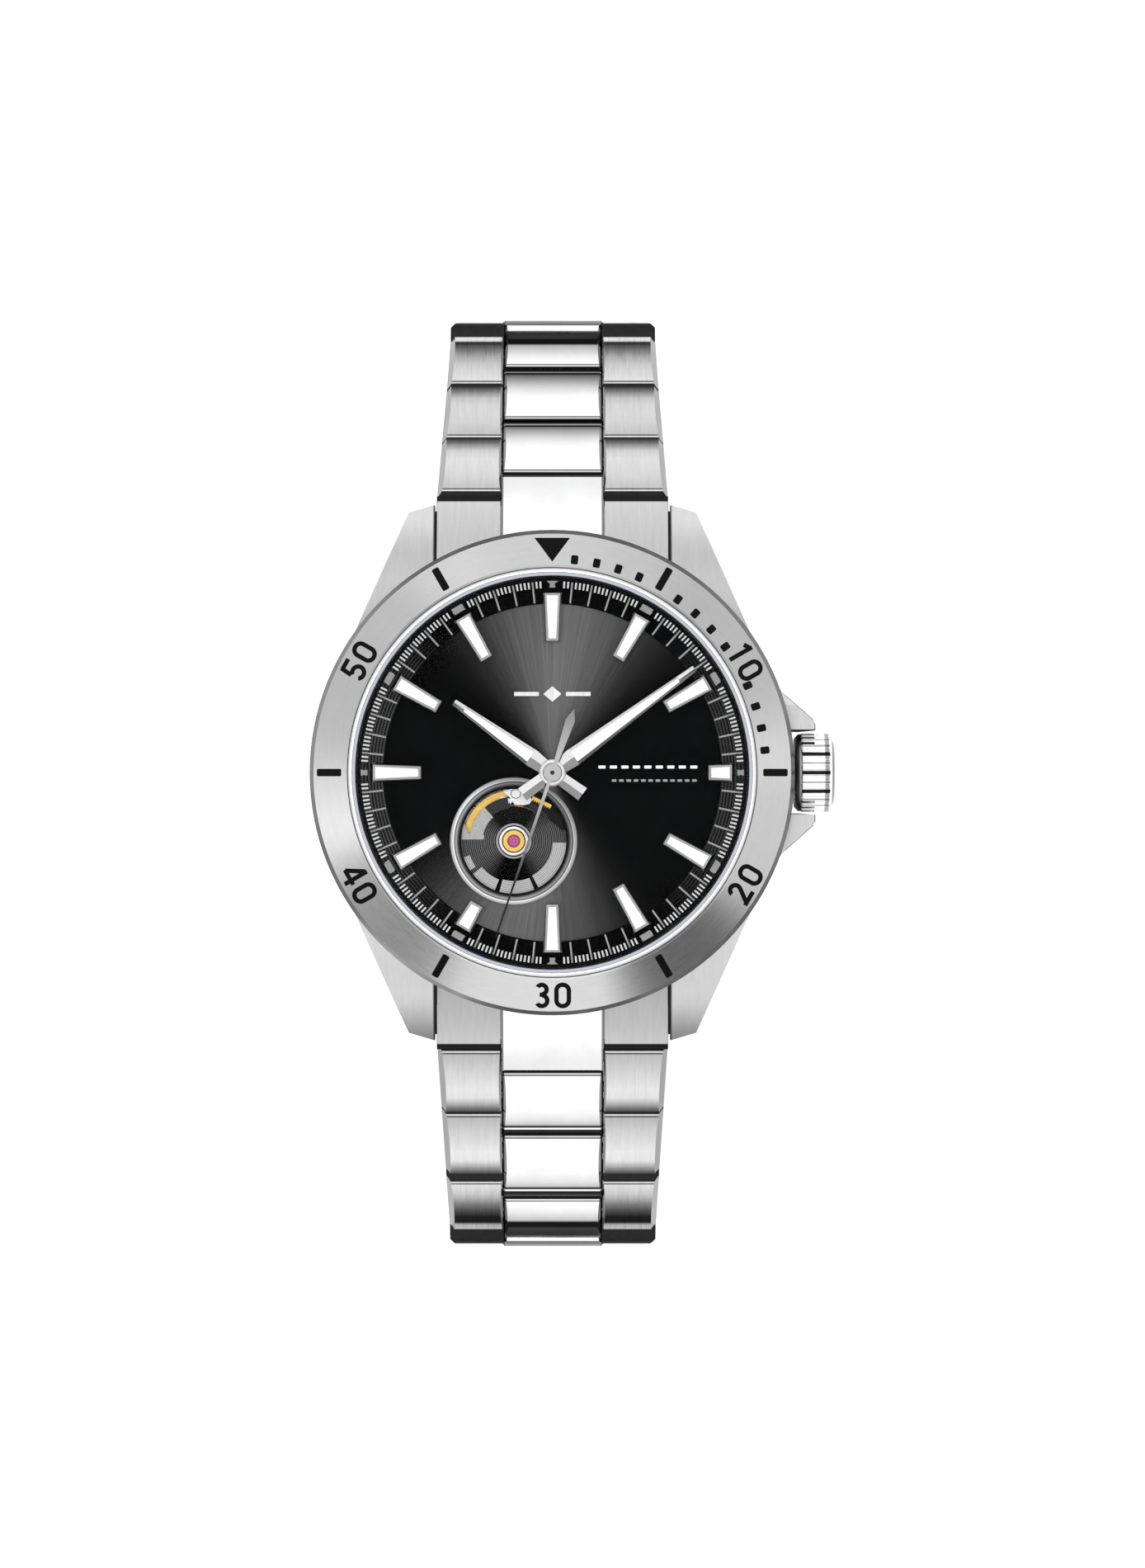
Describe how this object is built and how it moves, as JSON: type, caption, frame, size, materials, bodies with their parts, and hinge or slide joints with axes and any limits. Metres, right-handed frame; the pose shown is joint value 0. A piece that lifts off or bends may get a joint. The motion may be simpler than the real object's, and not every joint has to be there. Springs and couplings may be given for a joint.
{
  "type": "wristwatch",
  "caption": "Automatic dive-style wristwatch with a turning bezel, an open balance aperture in a dark dial and a closed three-row steel bracelet with a folding clasp.",
  "frame": {"origin": "centre of the case back's flat outer face, on the axis of the hands", "axes": "+Z out of the dial, +X to the crown at 3 o'clock, +Y to 12 o'clock"},
  "size_m": [0.0466, 0.0851, 0.0479],
  "materials": {
    "brushed_steel": "satin brushed",
    "polished_steel": "polished",
    "black_lacquer": "lacquer",
    "dial_black": "sunray brushed",
    "snailed_black": "circular grained",
    "gilt_brass": "gilt",
    "rhodium_plate": "fine grained",
    "sapphire": "clear",
    "seal": "matt",
    "ruby": "polished stone",
    "steel_spring": "tempered"
  },
  "bodies": {
    "case": {"case_middle": "brushed_steel", "case_back": "brushed_steel", "case_back_window": "sapphire", "crystal": "sapphire", "gaskets": "seal", "dial": "dial_black", "aperture_frame": "polished_steel", "aperture_plate": "snailed_black", "hour_markers": "polished_steel", "chapter_ring": "dial_black", "movement_ring": "rhodium_plate", "main_plate": "rhodium_plate", "train_bridge": "rhodium_plate", "balance_cock": "rhodium_plate", "jewels": "ruby", "screws": "polished_steel", "hairspring": "steel_spring", "end_link_12": "brushed_steel", "end_link_6": "brushed_steel", "spring_bars": "brushed_steel"},
    "bezel": {"bezel": "brushed_steel", "bezel_markings": "black_lacquer"},
    "minute_works": {"center_wheel": "gilt_brass", "minute_hand": "polished_steel"},
    "hour_works": {"hour_wheel": "gilt_brass", "hour_hand": "polished_steel"},
    "seconds_works": {"fourth_wheel": "gilt_brass", "seconds_hand": "polished_steel"},
    "minute_wheel": {"minute_wheel": "gilt_brass"},
    "third_wheel": {"third_wheel": "gilt_brass"},
    "escape_wheel": {"escape_wheel": "rhodium_plate"},
    "barrel": {"barrel": "gilt_brass"},
    "pallet_fork": {"pallet_fork": "rhodium_plate"},
    "balance_wheel": {"balance_wheel": "gilt_brass"},
    "rotor": {"rotor": "rhodium_plate"},
    "crown_slide": {"crown_gasket": "seal"},
    "crown": {"crown": "polished_steel"},
    "clasp_blade_2": {"clasp_blade_2": "polished_steel"},
    "clasp_blade_1": {"clasp_blade_1": "polished_steel"},
    "clasp_cover": {"clasp_cover": "brushed_steel"},
    "button_right": {"clasp_button_right": "polished_steel"},
    "button_left": {"clasp_button_left": "polished_steel"},
    "link_12_1": {"link_12_1": "brushed_steel"},
    "link_12_2": {"link_12_2": "brushed_steel"},
    "link_12_3": {"link_12_3": "brushed_steel"},
    "link_12_4": {"link_12_4": "brushed_steel"},
    "link_12_5": {"link_12_5": "brushed_steel"},
    "link_12_6": {"link_12_6": "brushed_steel"},
    "link_12_7": {"link_12_7": "brushed_steel"},
    "link_12_8": {"link_12_8": "brushed_steel"},
    "link_12_9": {"link_12_9": "brushed_steel"},
    "link_6_1": {"link_6_1": "brushed_steel"},
    "link_6_2": {"link_6_2": "brushed_steel"},
    "link_6_3": {"link_6_3": "brushed_steel"},
    "link_6_4": {"link_6_4": "brushed_steel"},
    "link_6_5": {"link_6_5": "brushed_steel"},
    "link_6_6": {"link_6_6": "brushed_steel"},
    "link_6_7": {"link_6_7": "brushed_steel"},
    "link_6_8": {"link_6_8": "brushed_steel"},
    "link_6_9": {"link_6_9": "brushed_steel"}
  },
  "joints": [
    {"name": "bezel_turn", "type": "hinge", "parent": "case", "child": "bezel", "pos_m": [0, 0, 0.0092], "axis": [0, 0, -1], "continuous": true},
    {"name": "hands_turn", "type": "hinge", "parent": "case", "child": "minute_works", "pos_m": [0, 0, 0.008], "axis": [0, 0, -1], "continuous": true},
    {"name": "hour_turn", "type": "hinge", "parent": "case", "child": "hour_works", "pos_m": [0, 0, 0.008], "axis": [0, 0, -1], "continuous": true},
    {"name": "seconds_turn", "type": "hinge", "parent": "case", "child": "seconds_works", "pos_m": [0, 0, 0.008], "axis": [0, 0, -1], "continuous": true},
    {"name": "minute_wheel_turn", "type": "hinge", "parent": "case", "child": "minute_wheel", "pos_m": [0.00242, 0.0014, 0.0067], "axis": [0, 0, -1], "continuous": true},
    {"name": "third_wheel_turn", "type": "hinge", "parent": "case", "child": "third_wheel", "pos_m": [0.00066, 0.00374, 0.0045], "axis": [0, 0, -1], "continuous": true},
    {"name": "escape_turn", "type": "hinge", "parent": "case", "child": "escape_wheel", "pos_m": [-0.00382, -0.00047, 0.005], "axis": [0, 0, -1], "continuous": true},
    {"name": "barrel_turn", "type": "hinge", "parent": "case", "child": "barrel", "pos_m": [0.00474, -0.00172, 0.005], "axis": [0, 0, -1], "continuous": true},
    {"name": "pallet_swing", "type": "hinge", "parent": "case", "child": "pallet_fork", "pos_m": [-0.00363, -0.00339, 0.005], "axis": [0, 0, -1], "range_deg": [-5, 5]},
    {"name": "balance_swing", "type": "hinge", "parent": "case", "child": "balance_wheel", "pos_m": [-0.00345, -0.00609, 0.006], "axis": [0, 0, -1], "range_deg": [-270, 270], "stiffness_Nm_per_rad": 0.00000063},
    {"name": "rotor_turn", "type": "hinge", "parent": "case", "child": "rotor", "pos_m": [0, 0, 0.0025], "axis": [0, 0, -1], "continuous": true},
    {"name": "crown_pull", "type": "slide", "parent": "case", "child": "crown_slide", "axis": [1, 0, 0], "range_m": [0, 0.0016]},
    {"name": "crown_turn", "type": "hinge", "parent": "crown_slide", "child": "crown", "pos_m": [0.022, 0, 0.0059], "axis": [1, 0, 0], "continuous": true},
    {"name": "link_12_1_bend", "type": "hinge", "parent": "case", "child": "link_12_1", "pos_m": [0, 0.02515, 0.0034], "axis": [1, 0, 0], "range_deg": [0, 10]},
    {"name": "link_12_2_bend", "type": "hinge", "parent": "link_12_1", "child": "link_12_2", "pos_m": [0, 0.03014, 0.00016], "axis": [1, 0, 0], "range_deg": [-8, 0]},
    {"name": "link_12_3_bend", "type": "hinge", "parent": "link_12_2", "child": "link_12_3", "pos_m": [0, 0.03507, -0.00317], "axis": [1, 0, 0], "range_deg": [0, 4]},
    {"name": "link_12_4_bend", "type": "hinge", "parent": "link_12_3", "child": "link_12_4", "pos_m": [0, 0.0397, -0.00691], "axis": [1, 0, 0], "range_deg": [0, 47]},
    {"name": "link_12_5_bend", "type": "hinge", "parent": "link_12_4", "child": "link_12_5", "pos_m": [0, 0.04011, -0.01285], "axis": [1, 0, 0], "range_deg": [0, 14]},
    {"name": "link_12_6_bend", "type": "hinge", "parent": "link_12_5", "child": "link_12_6", "pos_m": [0, 0.03908, -0.01871], "axis": [1, 0, 0], "range_deg": [0, 18]},
    {"name": "link_12_7_bend", "type": "hinge", "parent": "link_12_6", "child": "link_12_7", "pos_m": [0, 0.03629, -0.02396], "axis": [1, 0, 0], "range_deg": [0, 20]},
    {"name": "link_12_8_bend", "type": "hinge", "parent": "link_12_7", "child": "link_12_8", "pos_m": [0, 0.03186, -0.02794], "axis": [1, 0, 0], "range_deg": [0, 20]},
    {"name": "link_12_9_bend", "type": "hinge", "parent": "link_12_8", "child": "link_12_9", "pos_m": [0, 0.02635, -0.03017], "axis": [1, 0, 0], "range_deg": [0, 14]},
    {"name": "link_6_1_bend", "type": "hinge", "parent": "case", "child": "link_6_1", "pos_m": [0, -0.02535, 0.0034], "axis": [-1, 0, 0], "range_deg": [0, 1]},
    {"name": "link_6_2_bend", "type": "hinge", "parent": "link_6_1", "child": "link_6_2", "pos_m": [0, -0.03104, 0.00166], "axis": [-1, 0, 0], "range_deg": [0, 2]},
    {"name": "link_6_3_bend", "type": "hinge", "parent": "link_6_2", "child": "link_6_3", "pos_m": [0, -0.03667, -0.00028], "axis": [-1, 0, 0], "range_deg": [0, 19]},
    {"name": "link_6_4_bend", "type": "hinge", "parent": "link_6_3", "child": "link_6_4", "pos_m": [0, -0.04135, -0.00394], "axis": [-1, 0, 0], "range_deg": [0, 48]},
    {"name": "link_6_5_bend", "type": "hinge", "parent": "link_6_4", "child": "link_6_5", "pos_m": [0, -0.04177, -0.00988], "axis": [-1, 0, 0], "range_deg": [0, 12]},
    {"name": "link_6_6_bend", "type": "hinge", "parent": "link_6_5", "child": "link_6_6", "pos_m": [0, -0.04094, -0.01577], "axis": [-1, 0, 0], "range_deg": [0, 14]},
    {"name": "link_6_7_bend", "type": "hinge", "parent": "link_6_6", "child": "link_6_7", "pos_m": [0, -0.03871, -0.02128], "axis": [-1, 0, 0], "range_deg": [0, 18]},
    {"name": "link_6_8_bend", "type": "hinge", "parent": "link_6_7", "child": "link_6_8", "pos_m": [0, -0.03489, -0.02584], "axis": [-1, 0, 0], "range_deg": [0, 20]},
    {"name": "link_6_9_bend", "type": "hinge", "parent": "link_6_8", "child": "link_6_9", "pos_m": [0, -0.02974, -0.02882], "axis": [-1, 0, 0], "range_deg": [0, 18]},
    {"name": "blade_2_turn", "type": "hinge", "parent": "link_12_9", "child": "clasp_blade_2", "pos_m": [0, 0.02045, -0.031], "axis": [1, 0, 0], "range_deg": [0, 20]},
    {"name": "blade_1_fold", "type": "hinge", "parent": "clasp_blade_2", "child": "clasp_blade_1", "pos_m": [0, -0.0196, -0.03047], "axis": [-1, 0, 0], "range_deg": [0, 170]},
    {"name": "clasp_open", "type": "hinge", "parent": "clasp_blade_1", "child": "clasp_cover", "pos_m": [0, 0.0158, -0.03198], "axis": [1, 0, 0], "range_deg": [0, 170]},
    {"name": "button_right_press", "type": "slide", "parent": "clasp_cover", "child": "button_right", "axis": [-1, 0, 0], "range_m": [0, 0.0005], "stiffness_N_per_m": 2000, "springref_m": -0.0003},
    {"name": "button_left_press", "type": "slide", "parent": "clasp_cover", "child": "button_left", "axis": [1, 0, 0], "range_m": [0, 0.0005], "stiffness_N_per_m": 2000, "springref_m": -0.0003}
  ],
  "couplings": [
    {"joint": "hour_turn", "follows": "hands_turn", "ratio": 0.083333},
    {"joint": "seconds_turn", "follows": "hands_turn", "ratio": 60},
    {"joint": "minute_wheel_turn", "follows": "hands_turn", "ratio": -0.33333},
    {"joint": "third_wheel_turn", "follows": "hands_turn", "ratio": -8},
    {"joint": "escape_turn", "follows": "hands_turn", "ratio": -600},
    {"joint": "barrel_turn", "follows": "hands_turn", "ratio": -0.16667},
    {"joint": "link_12_2_bend", "follows": "link_12_1_bend", "ratio": -0.8},
    {"joint": "link_12_3_bend", "follows": "link_12_1_bend", "ratio": 0.4},
    {"joint": "link_12_4_bend", "follows": "link_12_1_bend", "ratio": 4.7},
    {"joint": "link_12_5_bend", "follows": "link_12_1_bend", "ratio": 1.4},
    {"joint": "link_12_6_bend", "follows": "link_12_1_bend", "ratio": 1.8},
    {"joint": "link_12_7_bend", "follows": "link_12_1_bend", "ratio": 2},
    {"joint": "link_12_8_bend", "follows": "link_12_1_bend", "ratio": 2},
    {"joint": "link_12_9_bend", "follows": "link_12_1_bend", "ratio": 1.4},
    {"joint": "link_6_1_bend", "follows": "link_12_1_bend", "ratio": 0.1},
    {"joint": "link_6_2_bend", "follows": "link_12_1_bend", "ratio": 0.2},
    {"joint": "link_6_3_bend", "follows": "link_12_1_bend", "ratio": 1.9},
    {"joint": "link_6_4_bend", "follows": "link_12_1_bend", "ratio": 4.8},
    {"joint": "link_6_5_bend", "follows": "link_12_1_bend", "ratio": 1.2},
    {"joint": "link_6_6_bend", "follows": "link_12_1_bend", "ratio": 1.4},
    {"joint": "link_6_7_bend", "follows": "link_12_1_bend", "ratio": 1.8},
    {"joint": "link_6_8_bend", "follows": "link_12_1_bend", "ratio": 2},
    {"joint": "link_6_9_bend", "follows": "link_12_1_bend", "ratio": 1.8},
    {"joint": "blade_2_turn", "follows": "link_12_1_bend", "ratio": 2},
    {"joint": "blade_1_fold", "follows": "link_12_1_bend", "ratio": 17},
    {"joint": "clasp_open", "follows": "link_12_1_bend", "ratio": 17}
  ]
}
